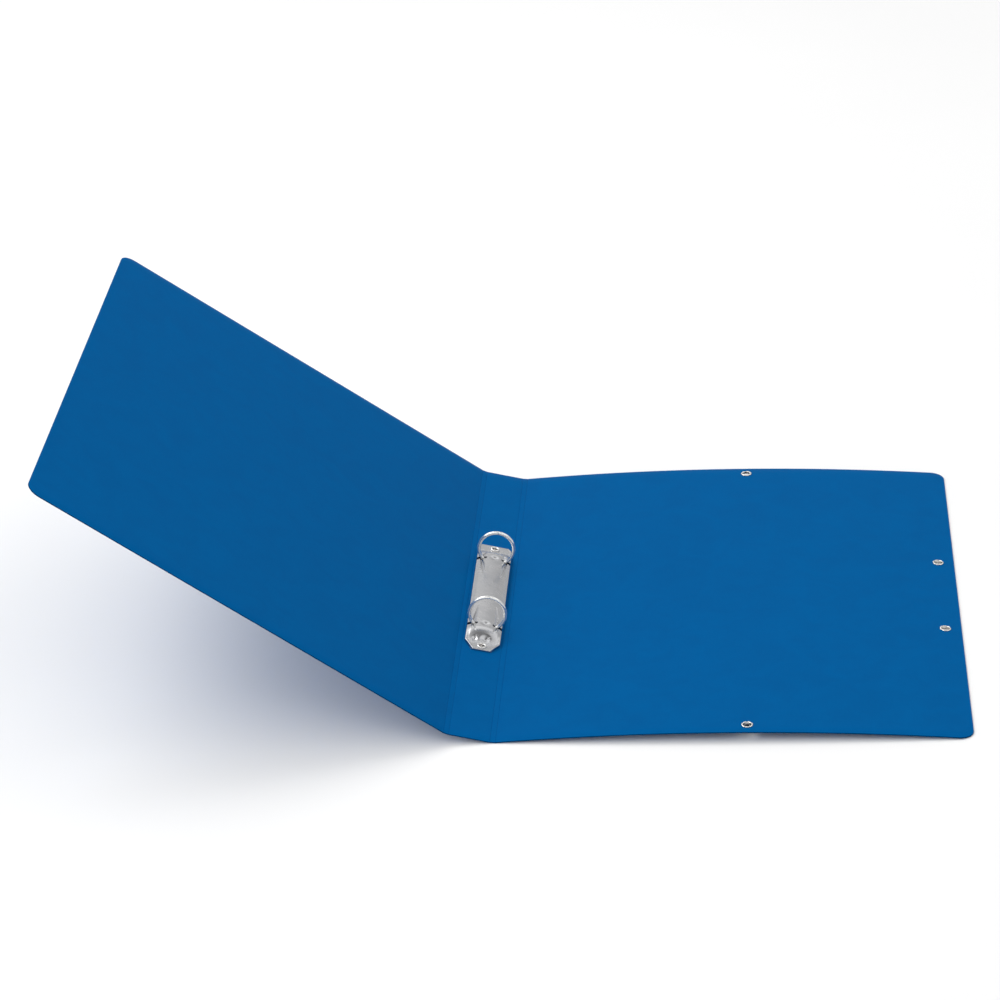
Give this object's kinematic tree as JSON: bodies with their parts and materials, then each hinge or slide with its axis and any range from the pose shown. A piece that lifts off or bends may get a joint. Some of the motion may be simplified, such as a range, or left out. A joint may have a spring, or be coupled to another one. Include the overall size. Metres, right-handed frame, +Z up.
{
  "type": "ring binder",
  "caption": "A4 ring binder in glossy blue pressboard, lying open, with a riveted nickel-plated O-ring mechanism and eyelets for elastics",
  "frame": {"origin": "on the table, under the middle of the open binder's box", "axes": "+X from the front cover to the back cover, +Y along the spine to the far end, +Z up"},
  "size_m": [0.4824, 0.32, 0.1514],
  "materials": {
    "pressboard": "gloss",
    "nickel_plate": "satin",
    "zinc_steel": "satin",
    "nickel_wire": "polished",
    "nickel_rivet": "polished",
    "nickel_eyelet": "polished"
  },
  "bodies": {
    "back": {"back_cover": "pressboard", "eyelet_far_edge": "nickel_eyelet", "eyelet_near_edge": "nickel_eyelet", "eyelet_fore_far": "nickel_eyelet", "eyelet_fore_near": "nickel_eyelet"},
    "spine": {"spine_panel": "pressboard", "mechanism_housing": "nickel_plate", "rivet_far": "nickel_rivet", "rivet_near": "nickel_rivet"},
    "front": {"front_cover": "pressboard"},
    "left_leaf": {"blade_left": "zinc_steel", "ring_far_left": "nickel_wire", "ring_near_left": "nickel_wire"},
    "right_leaf": {"blade_right": "zinc_steel", "ring_far_right": "nickel_wire", "ring_near_right": "nickel_wire"}
  },
  "joints": [
    {"name": "back_crease", "type": "hinge", "parent": "back", "child": "spine", "pos_m": [-0.00936, 0, 0.00035], "axis": [0, 1, 0], "range_deg": [-13, 72.52]},
    {"name": "front_crease", "type": "hinge", "parent": "spine", "child": "front", "pos_m": [-0.03372, 0, 0.00597], "axis": [0, 1, 0], "range_deg": [-22, 68]},
    {"name": "ring_opening", "type": "hinge", "parent": "spine", "child": "left_leaf", "pos_m": [-0.02962, -0.0014, 0.00641], "axis": [0, -1, 0], "range_deg": [0, 6]},
    {"name": "ring_opening_right", "type": "hinge", "parent": "spine", "child": "right_leaf", "pos_m": [-0.01286, -0.0014, 0.00254], "axis": [0, -1, 0], "range_deg": [-6, 0]}
  ],
  "couplings": [
    {"joint": "ring_opening_right", "follows": "ring_opening", "ratio": -1}
  ]
}
